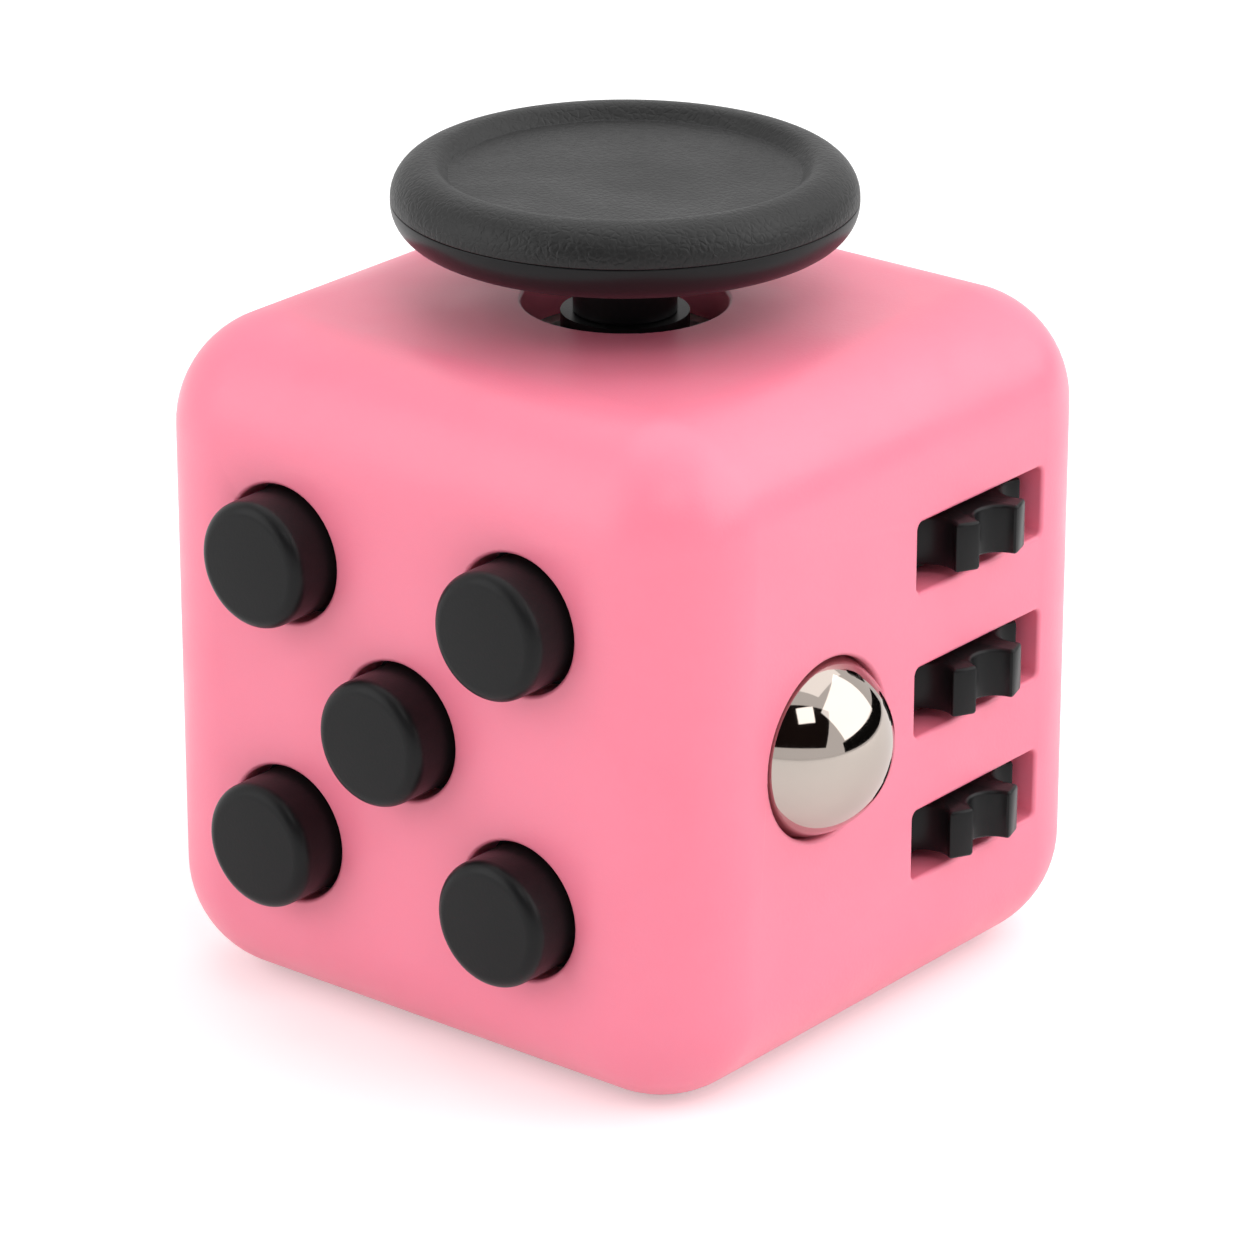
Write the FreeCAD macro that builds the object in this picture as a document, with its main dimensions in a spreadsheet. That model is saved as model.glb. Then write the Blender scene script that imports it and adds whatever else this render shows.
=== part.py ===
import FreeCAD, Part
import math
import os
import Sketcher

# A fidget cube, in millimetres. Origin at the middle of its bottom face, +Z up. Its six sides: five push
# buttons in front (-Y), ball and toothed wheels on the right (+X), thumb stick on top (+Z), rocker switch
# behind (+Y), spinning dial on the left (-X) and a worry dish below.

V = FreeCAD.Vector
doc = FreeCAD.newDocument("FidgetCube")
sheet = doc.addObject("Spreadsheet::Sheet", "Sizes")

SIZES = {
    # housing
    "cube_side": 33.0,
    "cube_edge_radius": 5.5,
    "cube_wall": 2.0,
    "rim_round": 0.2,
    # clearances
    "sliding_gap": 0.1,
    "running_gap": 0.05,
    "seat_gap": 0.02,
    # fasteners
    "screw_radius": 0.7,
    "screw_head_radius": 1.3,
    "screw_head_height": 0.7,
    "screw_reach": 3.4,
    "boss_radius": 1.5,
    "boss_sink": 0.4,
    "wire_radius": 0.18,
    # bottom cover
    "cover_side": 21.0,
    "cover_corner_radius": 3.0,
    "cover_boss_radius": 8.5,
    "cover_boss_height": 3.4,
    "dish_radius": 7.6,
    "dish_depth": 1.8,
    "peg_offset": 8.6,
    "peg_radius": 0.98,
    "peg_length": 2.2,
    "gusset_height": 3.2,
    "gusset_back": 1.4,
    # push buttons
    "button_pitch": 7.0,
    "button_radius": 3.05,
    "button_hole_gap": 0.28,
    "button_proud": 2.5,
    "button_edge_round": 0.65,
    "button_flange_radius": 3.8,
    "button_flange_height": 0.8,
    "button_post_radius": 1.2,
    "button_travel": 1.2,
    "dome_radius": 1.8,
    "dome_height": 0.45,
    "dome_thickness": 0.15,
    "spring_depth": 3.4,
    "button_spring_radius": 2.5,
    "plate_thickness": 1.2,
    "plate_half_width": 9.5,
    "plate_half_height": 10.2,
    "plate_screw_offset": 8.2,
    "plate_notch_start": 4.0,
    "plate_notch_half": 4.2,
    # ball
    "ball_radius": 4.45,
    "ball_sunk": 1.73,
    "ball_offset": 5.8,
    "ball_hole_radius": 4.35,
    "cup_wall": 0.45,
    "cup_stem_radius": 1.0,
    "cup_back_radius": 2.7,
    "ball_spring_radius": 2.1,
    # toothed wheels
    "wheel_pitch": 7.2,
    "wheel_tip_radius": 4.95,
    "wheel_root_radius": 3.65,
    "wheel_thickness": 2.4,
    "wheel_turned": 27.2,
    "tooth_tip_width": 1.35,
    "wheel_sunk": 3.45,
    "wheel_offset": 5.8,
    "wheel_hub_radius": 1.75,
    "wheel_hub_length": 3.0,
    "axle_radius": 1.0,
    "slot_length": 9.8,
    "slot_height": 3.45,
    "slot_corner_radius": 0.35,
    # side frame
    "frame_face": 7.1,
    "frame_thickness": 1.0,
    "frame_bar_half": 1.4,
    "frame_spine_half": 1.8,
    "frame_arm_half": 2.4,
    "frame_arm_reach": 8.5,
    "frame_screw_offset": 9.5,
    "frame_screw_shift": 0.9,
    "frame_screw_reach": 7.1,
    "bearing_half_width": 1.7,
    "bearing_end_thickness": 1.2,
    "bearing_lip": 0.15,
    # thumb stick
    "stick_pivot_depth": 5.5,
    "stick_hole_radius": 4.85,
    "stick_cap_radius": 10.9,
    "stick_cap_rim_radius": 1.8,
    "stick_cap_rise": 5.0,
    "stick_dish_radius": 8.2,
    "stick_dish_drop": 0.65,
    "stick_neck_radius": 2.45,
    "stick_collar_radius": 3.03,
    "stick_collar_height": 0.8,
    "stick_collar_sunk": 0.5,
    "stick_shank_radius": 2.0,
    "stick_shoulder_radius": 2.6,
    "stick_shoulder_depth": 2.7,
    "stick_tail_radius": 0.8,
    "stick_tail_length": 1.4,
    "ring_outer_radius": 3.9,
    "ring_inner_radius": 3.0,
    "ring_height": 2.0,
    "pin_radius": 0.6,
    "well_half": 4.3,
    "well_wall": 1.0,
    "well_depth": 10.7,
    "well_floor": 1.0,
    "well_ear_offset": 7.2,
    "well_ear_half": 1.6,
    "well_ear_drop": 0.5,
    "well_ear_thickness": 1.0,
    "well_spring_radius": 2.5,
    # rocker switch
    "rocker_half_width": 4.0,
    "rocker_side_gap": 0.3,
    "rocker_end_radius": 8.0,
    "rocker_face": 3.5,
    "rocker_angle": 20.0,
    "rocker_thickness": 3.0,
    "rocker_skirt": 1.1,
    "rocker_skirt_low": 11.0,
    "rocker_cam_radius": 1.4,
    "rocker_cam_flat": 1.2,
    "rocker_pin_radius": 0.75,
    "cradle_gap": 0.4,
    "cradle_cheek": 0.7,
    "cradle_cheek_half": 2.6,
    "cradle_plate_thickness": 1.2,
    "cradle_screw_offset": 11.1,
    "leaf_clearance": 0.15,
    "leaf_thickness": 0.3,
    "leaf_half_width": 1.6,
    "leaf_half_length": 5.5,
    # spinning dial
    "dial_radius": 8.0,
    "dial_recess_gap": 0.3,
    "dial_recess_depth": 1.4,
    "dial_proud": 0.8,
    "dial_edge_round": 0.35,
    "dial_nub_radius": 1.7,
    "dial_nub_height": 1.4,
    "dial_nub_offset": 5.2,
    "dial_shaft_radius": 2.5,
    "dial_boss_radius": 9.5,
    "dial_boss_height": 1.6,
    "dial_washer_radius": 4.2,
    "dial_washer_thickness": 0.5,
}


class Size:
    """A number together with the formula over the sheet that the document binds to it."""

    def __init__(self, number, formula):
        self.number = float(number)
        self.formula = formula

    def _join(self, sign, other, number):
        other = as_size(other)
        return Size(number(self.number, other.number), f"({self.formula} {sign} {other.formula})")

    def __add__(self, other):
        return self._join("+", other, lambda a, b: a + b)

    def __sub__(self, other):
        return self._join("-", other, lambda a, b: a - b)

    def __mul__(self, other):
        return self._join("*", other, lambda a, b: a * b)

    def __truediv__(self, other):
        return self._join("/", other, lambda a, b: a / b)

    def __radd__(self, other):
        return as_size(other) + self

    def __rsub__(self, other):
        return as_size(other) - self

    def __rmul__(self, other):
        return as_size(other) * self

    def __neg__(self):
        return Size(-self.number, f"(-1 * {self.formula})")


def as_size(value):
    return value if isinstance(value, Size) else Size(value, repr(float(value)))


def root(value):
    return Size(math.sqrt(value.number), f"sqrt({value.formula})")


def cosine(degrees):
    degrees = as_size(degrees)
    return Size(math.cos(math.radians(degrees.number)), f"cos({degrees.formula})")


def sine(degrees):
    degrees = as_size(degrees)
    return Size(math.sin(math.radians(degrees.number)), f"sin({degrees.formula})")


for row, (alias, number) in enumerate(SIZES.items(), 1):
    sheet.set(f"A{row}", alias)
    sheet.set(f"B{row}", str(number))
    sheet.setAlias(f"B{row}", alias)
    globals()[alias] = Size(number, f"Sizes.{alias}")
doc.recompute()

X, Y, Z = V(1, 0, 0), V(0, 1, 0), V(0, 0, 1)
half = cube_side / 2
inner = half - cube_wall
middle = half
ceiling = cube_side - cube_wall


# ---- building blocks: every length and place is bound to the sheet ----

def bind(thing, prop, value):
    thing.setExpression(prop, as_size(value).formula)


def place(thing, at, axis=Z, turned=0.0):
    """Stand a piece at a point, its own Z along the axis and turned about it."""
    turn = FreeCAD.Rotation(Z, axis).multiply(FreeCAD.Rotation(Z, as_size(turned).number))
    thing.Placement = FreeCAD.Placement(V(*(as_size(c).number for c in at)), turn)
    for name, c in zip("xyz", at):
        bind(thing, f"Placement.Base.{name}", c)
    return thing


def block(name, x, y, z):
    """A box between pairs of coordinates."""
    box = doc.addObject("Part::Box", name)
    for prop, (low, high) in zip(("Length", "Width", "Height"), (x, y, z)):
        bind(box, prop, as_size(high) - low)
    return place(box, (x[0], y[0], z[0]))


def rod(name, radius, length, at, axis=Z):
    cylinder = doc.addObject("Part::Cylinder", name)
    bind(cylinder, "Radius", radius)
    bind(cylinder, "Height", length)
    return place(cylinder, at, axis)


def fuse(name, pieces):
    joined = doc.addObject("Part::MultiFuse", name)
    joined.Shapes = pieces
    joined.Refine = True
    return joined


def cut(name, base, tools):
    result = doc.addObject("Part::Cut", name)
    result.Base = base
    result.Tool = tools[0] if len(tools) == 1 else fuse(name + "_tools", tools)
    result.Refine = True
    return result


def common(name, base, tool):
    result = doc.addObject("Part::Common", name)
    result.Base = base
    result.Tool = tool
    return result


def body_with_sketch(name, role="XY_Plane"):
    body = doc.addObject("PartDesign::Body", name)
    sketch = body.newObject("Sketcher::SketchObject", name + "_sketch")
    sketch.AttachmentSupport = [(next(f for f in body.Origin.OriginFeatures if f.Role == role), "")]
    sketch.MapMode = "FlatFace"
    return body, sketch


def outline(sketch, corners):
    """Draw a closed outline. A corner is (u, v), or (u, v, radius) for a round one."""
    count = len(corners)
    points = [tuple(as_size(c) for c in corner) for corner in corners]
    runs = []
    for i, (u, v, *radius) in enumerate(points):
        if not radius:
            runs.append(((u, v), (u, v), None, None))
            continue
        before, after = points[i - 1], points[(i + 1) % count]
        steps = []
        for other in (before, after):
            across = other[0].number - u.number
            along = other[1].number - v.number
            reach = math.hypot(across, along)
            steps.append((round(across / reach), round(along / reach)))
        r = radius[0]
        start = (u + r * steps[0][0], v + r * steps[0][1])
        end = (u + r * steps[1][0], v + r * steps[1][1])
        centre = (u + r * (steps[0][0] + steps[1][0]), v + r * (steps[0][1] + steps[1][1]))
        runs.append((start, end, centre, r))
    edges = []
    for i, (start, end, centre, radius) in enumerate(runs):
        if centre is not None:
            edge, first, last = add_arc(sketch, start, end, centre, radius)
            edges.append((edge, first, last))
        following = runs[(i + 1) % count][0]
        line = Part.LineSegment(flat(end), flat(following))
        index = sketch.addGeometry(line, False)
        if centre is None:
            fix(sketch, index, 1, end)
        edges.append((index, 1, 2))
    join_ends(sketch, edges)


def join_ends(sketch, edges):
    for (one, _, last), (two, first, _) in zip(edges, edges[1:] + edges[:1]):
        sketch.addConstraint(Sketcher.Constraint("Coincident", one, last, two, first))


def flat(point):
    return V(point[0].number, point[1].number, 0)


def add_arc(sketch, start, end, centre, radius):
    """An arc held by its two ends and its radius. Gives its number and its start and end vertices."""
    a, b = flat(start) - flat(centre), flat(end) - flat(centre)
    clockwise = a.x * b.y - a.y * b.x < 0
    first, last = (b, a) if clockwise else (a, b)
    circle = Part.Circle(flat(centre), Z, radius.number)
    first_angle, last_angle = math.atan2(first.y, first.x), math.atan2(last.y, last.x)
    arc = sketch.addGeometry(Part.ArcOfCircle(circle, first_angle, last_angle), False)
    vertices = (2, 1) if clockwise else (1, 2)
    fix(sketch, arc, vertices[0], start)
    fix(sketch, arc, vertices[1], end)
    bind_last(sketch, sketch.addConstraint(Sketcher.Constraint("Radius", arc, radius.number)), radius)
    return arc, *vertices


def fix(sketch, geometry, vertex, point):
    for kind, c in zip(("DistanceX", "DistanceY"), point):
        number = sketch.addConstraint(Sketcher.Constraint(kind, -1, 1, geometry, vertex, c.number))
        bind_last(sketch, number, c)


def bind_last(sketch, number, value):
    sketch.setExpression(f"Constraints[{number}]", as_size(value).formula)


def turned(name, profile, at, axis=Z, spin=0.0):
    """A turned piece: its outline as (radius, height) about its own Z."""
    body, sketch = body_with_sketch(name, "XZ_Plane")
    outline(sketch, profile)
    revolve = body.newObject("PartDesign::Revolution", name + "_turned")
    revolve.Profile = sketch
    revolve.ReferenceAxis = (sketch, ["V_Axis"])
    revolve.Angle = 360.0
    return place(body, at, axis, spin)


def padded(name, profile, length, at, axis=Z, spin=0.0):
    """A flat piece: its outline as (u, v), raised along its own Z."""
    body, sketch = body_with_sketch(name)
    outline(sketch, profile)
    pad = body.newObject("PartDesign::Pad", name + "_pad")
    pad.Profile = sketch
    bind(pad, "Length", length)
    return place(body, at, axis, spin)


def rounded_square(side_half, corner):
    s = side_half
    return [(-s, -s, corner), (s, -s, corner), (s, s, corner), (-s, s, corner)]


def rounded_block(name, low, high, side_half, radius):
    """A square block with every edge round."""
    body, sketch = body_with_sketch(name)
    s = side_half
    outline(sketch, [(-s, -s), (s, -s), (s, s), (-s, s)])
    pad = body.newObject("PartDesign::Pad", name + "_pad")
    pad.Profile = sketch
    bind(pad, "Length", high - low)
    place(body, (0, 0, low))
    doc.recompute()
    rounds = body.newObject("PartDesign::Fillet", name + "_rounds")
    rounds.Base = (pad, [f"Edge{i + 1}" for i in range(len(pad.Shape.Edges))])
    bind(rounds, "Radius", radius)
    return body


def screws(name, seats, axis):
    """Pan head screws, each seated with its head's underside on a given point, shank along the axis."""
    pieces = []
    for i, seat in enumerate(seats, 1):
        profile = [(0, -screw_head_height), (screw_head_radius, -screw_head_height, screw_head_height * 0.5),
                   (screw_head_radius, 0), (screw_radius, 0), (screw_radius, screw_reach), (0, screw_reach)]
        screw = turned(f"{name}_{i}_blank", profile, seat, axis)
        slot_depth = screw_head_height * 0.5
        slot = padded(f"{name}_{i}_slot",
                      [(-screw_head_radius, -screw_radius * 0.3), (screw_head_radius, -screw_radius * 0.3),
                       (screw_head_radius, screw_radius * 0.3), (-screw_head_radius, screw_radius * 0.3)],
                      slot_depth, (0, 0, 0))
        shift = screw_head_height
        place(slot, tuple(c - shift * a for c, a in zip(seat, (axis.x, axis.y, axis.z))), axis, 35.0 * i)
        pieces.append(cut(f"{name}_{i}", screw, [slot]))
    return fuse(name, pieces) if len(pieces) > 1 else pieces[0]


def coil(name, outer_radius, length, turns, at, axis):
    """A round wire compression spring of the given overall length."""
    mean, rise = outer_radius - wire_radius, (length - 2 * wire_radius) / turns
    helix = doc.addObject("Part::Helix", name + "_path")
    bind(helix, "Radius", mean)
    bind(helix, "Height", rise * turns)
    bind(helix, "Pitch", rise)
    helix.SegmentLength = 0.5
    section = doc.addObject("Part::Circle", name + "_wire")
    bind(section, "Radius", wire_radius)
    lead = math.degrees(math.atan2(rise.number, 2 * math.pi * mean.number))
    section.Placement = FreeCAD.Placement(V(0, 0, 0), FreeCAD.Rotation(X, 90 + lead))
    bind(section, "Placement.Base.x", mean)
    sweep = doc.addObject("Part::Sweep", name)
    sweep.Sections = [section]
    sweep.Spine = (helix, [f"Edge{i + 1}" for i in range(int(turns * 2))])
    sweep.Solid = True
    sweep.Frenet = True
    lift = (axis.x, axis.y, axis.z)
    return place(sweep, tuple(c + wire_radius * a for c, a in zip(at, lift)), axis)


NODES = {}


def node(name, piece):
    """Name a finished piece. The label is its file's name."""
    piece.Label = name
    NODES[name] = piece
    return piece


# ---- housing ----

button_places = {
    "upper_left": (-1, 1), "upper_right": (1, 1), "centre": (0, 0),
    "lower_left": (-1, -1), "lower_right": (1, -1),
}
button_hole_radius = button_radius + button_hole_gap
plate_front = -inner + sliding_gap + button_flange_height + spring_depth
ball_x = half - ball_sunk
wheel_x = half - wheel_sunk
frame_screw_places = [(-ball_offset - frame_screw_shift, frame_screw_offset),
                      (-ball_offset - frame_screw_shift, -frame_screw_offset),
                      (wheel_offset + frame_screw_reach, 0)]
plate_screw_places = [(0, plate_screw_offset), (0, -plate_screw_offset), (-plate_screw_offset, 0)]
rocker_y = half - rocker_face
cradle_front = rocker_y - rocker_cam_flat - running_gap - leaf_thickness - leaf_clearance
cradle_back = cradle_front - cradle_plate_thickness
ear_top = cube_side - stick_pivot_depth + well_ear_drop
pilot = screw_radius + seat_gap


def shell():
    skin = rounded_block("shell_skin", as_size(0), cube_side, half, cube_edge_radius)
    cavity = rounded_block("shell_cavity", cube_wall, ceiling, inner, cube_edge_radius - cube_wall)
    bosses = [
        rod("dial_boss", dial_boss_radius, dial_boss_height + boss_sink,
            (-inner - boss_sink, 0, middle), X)]
    for i, (x, z) in enumerate(plate_screw_places):
        bosses.append(rod(f"plate_boss_{i}", boss_radius, plate_front + inner + boss_sink,
                          (x, -inner - boss_sink, middle + z), Y))
    for i, (y, z) in enumerate(frame_screw_places):
        bosses.append(rod(f"frame_boss_{i}", boss_radius - 0.1, inner - frame_face + boss_sink,
                          (frame_face, y, middle + z), X))
    for i, side in enumerate((-1, 1)):
        bosses.append(rod(f"well_boss_{i}", well_ear_half, ceiling - ear_top + boss_sink,
                          (0, well_ear_offset * side, ear_top), Z))
        bosses.append(rod(f"cradle_boss_{i}", boss_radius, inner - cradle_front + boss_sink,
                          (0, cradle_front, middle + cradle_screw_offset * side), Y))
    gusset_low, gusset_high = peg_offset - gusset_back, inner + sliding_gap
    for i, (sx, sy) in enumerate(((-1, -1), (1, -1), (-1, 1), (1, 1))):
        span_x = (gusset_low, gusset_high) if sx > 0 else (-gusset_high, -gusset_low)
        span_y = (gusset_low, gusset_high) if sy > 0 else (-gusset_high, -gusset_low)
        bosses.append(block(f"gusset_{i}", span_x, span_y,
                            (cube_wall + running_gap, cube_wall + gusset_height)))
    hollow = cut("shell_hollow", skin, [cavity])
    with_bosses = common("shell_filled", fuse("shell_joined", [hollow] + bosses), skin)

    holes = []
    deep = cube_wall * 2
    for name, (sx, sz) in button_places.items():
        holes.append(rod(f"button_hole_{name}", button_hole_radius, deep,
                         (button_pitch * sx, -half - cube_wall, middle + button_pitch * sz), Y))
    holes.append(rod("stick_hole", stick_hole_radius, deep, (0, 0, ceiling - cube_wall), Z))
    holes.append(ball_seat())
    for i in (-1, 0, 1):
        s, r = slot_length / 2, slot_corner_radius
        profile = [(-slot_height / 2, -s, r), (slot_height / 2, -s, r), (slot_height / 2, s, r),
                   (-slot_height / 2, s, r)]
        holes.append(padded(f"wheel_slot_{i + 1}", profile, deep,
                            (inner - cube_wall, wheel_offset, middle + wheel_pitch * i), X))
    opening_half = rocker_half_width + rocker_side_gap
    reach = rocker_end_radius + running_gap
    round_corner = slot_corner_radius * 0.8
    profile = [(-opening_half, -reach, round_corner), (opening_half, -reach, round_corner),
               (opening_half, reach, round_corner), (-opening_half, reach, round_corner)]
    holes.append(padded("rocker_opening", profile, deep, (0, half + cube_wall, middle), -Y))
    holes.append(rod("dial_recess", dial_radius + dial_recess_gap, dial_recess_depth + cube_wall,
                     (-half - cube_wall, 0, middle), X))
    holes.append(rod("dial_bore", dial_shaft_radius + running_gap, deep * 2,
                     (-half - cube_wall, 0, middle), X))
    holes.append(padded("cover_opening", rounded_square(cover_side / 2 + sliding_gap, cover_corner_radius
                                                        + sliding_gap), deep, (0, 0, -cube_wall)))
    for i, (sx, sy) in enumerate(((-1, -1), (1, -1), (-1, 1), (1, 1))):
        holes.append(rod(f"peg_socket_{i}", peg_radius + seat_gap, peg_length + 0.2,
                         (peg_offset * sx, peg_offset * sy, cube_wall), Z))
    for i, (x, z) in enumerate(plate_screw_places):
        holes.append(rod(f"plate_pilot_{i}", pilot, screw_reach, (x, plate_front, middle + z), -Y))
    for i, (y, z) in enumerate(frame_screw_places):
        holes.append(rod(f"frame_pilot_{i}", pilot, screw_reach, (frame_face, y, middle + z), X))
    for i, side in enumerate((-1, 1)):
        holes.append(rod(f"well_pilot_{i}", pilot, screw_reach - well_ear_thickness + 0.2,
                         (0, well_ear_offset * side, ear_top), Z))
        holes.append(rod(f"cradle_pilot_{i}", pilot, screw_reach, (0, cradle_front, middle
                                                                    + cradle_screw_offset * side), Y))
    pierced = cut("shell_pierced", with_bosses, holes)
    return soften_rims("main_shell", pierced)


def ball_seat():
    """The ball's hole: a bore up to its middle, a round seat, and a narrower mouth that keeps it in."""
    body, sketch = body_with_sketch("ball_seat", "XZ_Plane")
    room = ball_radius + running_gap
    mouth = root(room * room - ball_hole_radius * ball_hole_radius)
    zero = as_size(0)
    corners = [(zero, -ball_radius), (room, -ball_radius), (room, zero), (ball_hole_radius, mouth),
               (ball_hole_radius, room + cube_wall), (zero, room + cube_wall)]
    edges = []
    for i, corner in enumerate(corners):
        following = corners[(i + 1) % len(corners)]
        if i == 2:
            edges.append(add_arc(sketch, corner, following, (zero, zero), room))
            continue
        line = sketch.addGeometry(Part.LineSegment(flat(corner), flat(following)), False)
        if i != 3:
            fix(sketch, line, 1, corner)
        edges.append((line, 1, 2))
    join_ends(sketch, edges)
    revolve = body.newObject("PartDesign::Revolution", "ball_seat_turned")
    revolve.Profile = sketch
    revolve.ReferenceAxis = (sketch, ["V_Axis"])
    revolve.Angle = 360.0
    return place(body, (ball_x, -ball_offset, middle), X)


def soften_rims(name, piece):
    """Round the outer rim of every opening in the flat faces of the housing."""
    doc.recompute()
    rims = []
    for i, edge in enumerate(piece.Shape.Edges, 1):
        box = edge.BoundBox
        spans = ((box.XMin, box.XMax, -half.number, half.number),
                 (box.YMin, box.YMax, -half.number, half.number), (box.ZMin, box.ZMax, 0.0, cube_side.number))
        reach = half.number - cube_edge_radius.number - 0.01
        for axis, (low, high, near, far) in enumerate(spans):
            level = high - low < 1e-4 and min(abs(low - near), abs(high - far)) < 1e-4
            others = [s for j, s in enumerate(spans) if j != axis]
            inside = all(lo > (n + f) / 2 - reach and hi < (n + f) / 2 + reach for lo, hi, n, f in others)
            if level and inside:
                rims.append(i)
    softened = doc.addObject("Part::Fillet", name + "_rims")
    softened.Base = piece
    softened.Edges = [(i, rim_round.number, rim_round.number) for i in rims]
    return softened


node("main_shell", shell())


# ---- bottom cover with its worry dish ----

def bottom_cover():
    slab = padded("cover_slab", rounded_square(cover_side / 2, cover_corner_radius), cube_wall, (0, 0, 0))
    boss = rod("cover_boss", cover_boss_radius, cover_boss_height, (0, 0, 0))
    pegs = [rod(f"cover_peg_{i}", peg_radius, peg_length + cube_wall, (peg_offset * sx, peg_offset * sy, 0))
            for i, (sx, sy) in enumerate(((-1, -1), (1, -1), (-1, 1), (1, 1)))]
    ball = doc.addObject("Part::Sphere", "dish_ball")
    sphere_radius = (dish_radius * dish_radius + dish_depth * dish_depth) / (2 * dish_depth)
    bind(ball, "Radius", sphere_radius)
    place(ball, (0, 0, dish_depth - sphere_radius))
    return cut("bottom_cover", fuse("cover_joined", [slab, boss] + pegs), [ball])


node("bottom_cover", bottom_cover())


# ---- five push buttons, each with its spring; three of them click on a steel dome ----

def button(name, sx, sz):
    top = button_proud + cube_wall - sliding_gap
    flange, post = button_flange_height, plate_front - button_travel - dome_height - running_gap
    # own Z points out of the front face, from the flange's back
    back = -(post - (-inner + sliding_gap + flange))
    profile = [(0, back), (button_post_radius, back), (button_post_radius, 0), (button_flange_radius, 0),
               (button_flange_radius, flange), (button_radius, flange),
               (button_radius, flange + top, button_edge_round), (0, flange + top)]
    seat = (button_pitch * sx, -inner + sliding_gap + flange, middle + button_pitch * sz)
    return turned(name, profile, seat, -Y)


for name, (sx, sz) in button_places.items():
    node(f"button_{name}", button(f"button_{name}", sx, sz))
    seat = (button_pitch * sx, plate_front - seat_gap, middle + button_pitch * sz)
    node(f"button_spring_{name}", coil(f"button_spring_{name}", button_spring_radius,
                                       spring_depth - 2 * seat_gap, 4.0, seat, -Y))


def click_domes():
    domes = []
    for name in ("upper_left", "centre", "lower_right"):
        sx, sz = button_places[name]
        h, w, r = dome_height, dome_thickness, dome_radius
        profile = [(0, h - w), (r * 0.55, h - w), (r * 0.8, 0), (r, 0), (r, w), (r * 0.9, w),
                   (r * 0.6, h), (0, h)]
        seat = (button_pitch * sx, plate_front - seat_gap * 0.5, middle + button_pitch * sz)
        domes.append(turned(f"click_dome_{name}", profile, seat, -Y))
    return fuse("click_domes", domes)


node("click_domes", click_domes())


def button_plate():
    slab = block("plate_slab", (-plate_half_width, plate_half_width),
                 (plate_front, plate_front + plate_thickness),
                 (middle - plate_half_height, middle + plate_half_height))
    notch = block("plate_notch", (plate_notch_start, plate_half_width + 1),
                  (plate_front - 1, plate_front + plate_thickness + 1),
                  (middle - plate_notch_half, middle + plate_notch_half))
    holes = [rod(f"plate_hole_{i}", pilot, plate_thickness + 2, (x, plate_front - 1, middle + z), Y)
             for i, (x, z) in enumerate(plate_screw_places)]
    return cut("button_plate", slab, [notch] + holes)


node("button_plate", button_plate())
node("button_plate_screws", screws("button_plate_screws", [
    (x, plate_front + plate_thickness + seat_gap, middle + z) for x, z in plate_screw_places], -Y))


# ---- steel ball in a sprung cup ----

ball = doc.addObject("Part::Sphere", "roller_ball")
bind(ball, "Radius", ball_radius)
node("roller_ball", place(ball, (ball_x, -ball_offset, middle)))
cup_back = ball_x - ball_radius - cup_wall - running_gap
frame_back = frame_face - frame_thickness


def ball_cup():
    """A hemispherical cup on a stem that slides in the side frame."""
    globe = doc.addObject("Part::Sphere", "cup_globe")
    bind(globe, "Radius", ball_radius + running_gap + cup_wall)
    place(globe, (ball_x, -ball_offset, middle))
    size = ball_radius + cup_wall + 1
    keep = block("cup_keep", (ball_x - size, inner - sliding_gap), (-ball_offset - size, -ball_offset + size),
                 (middle - size, middle + size))
    back = rod("cup_back", cup_back_radius, 0.9, (cup_back - 0.2, -ball_offset, middle), X)
    stem = rod("cup_stem", cup_stem_radius, cup_back - frame_back + 0.7,
               (frame_back - 0.7, -ball_offset, middle), X)
    hollow = doc.addObject("Part::Sphere", "cup_hollow")
    bind(hollow, "Radius", ball_radius + running_gap)
    place(hollow, (ball_x, -ball_offset, middle))
    return cut("ball_cup", fuse("cup_joined", [common("cup_half", globe, keep), back, stem]), [hollow])


node("ball_cup", ball_cup())
node("ball_spring", coil("ball_spring", ball_spring_radius, cup_back - 0.2 - frame_face - 2 * seat_gap, 2.5,
                         (frame_face + seat_gap, -ball_offset, middle), X))


# ---- three toothed wheels on one steel axle, carried by the side frame ----

WHEEL_TEETH = 8


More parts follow.
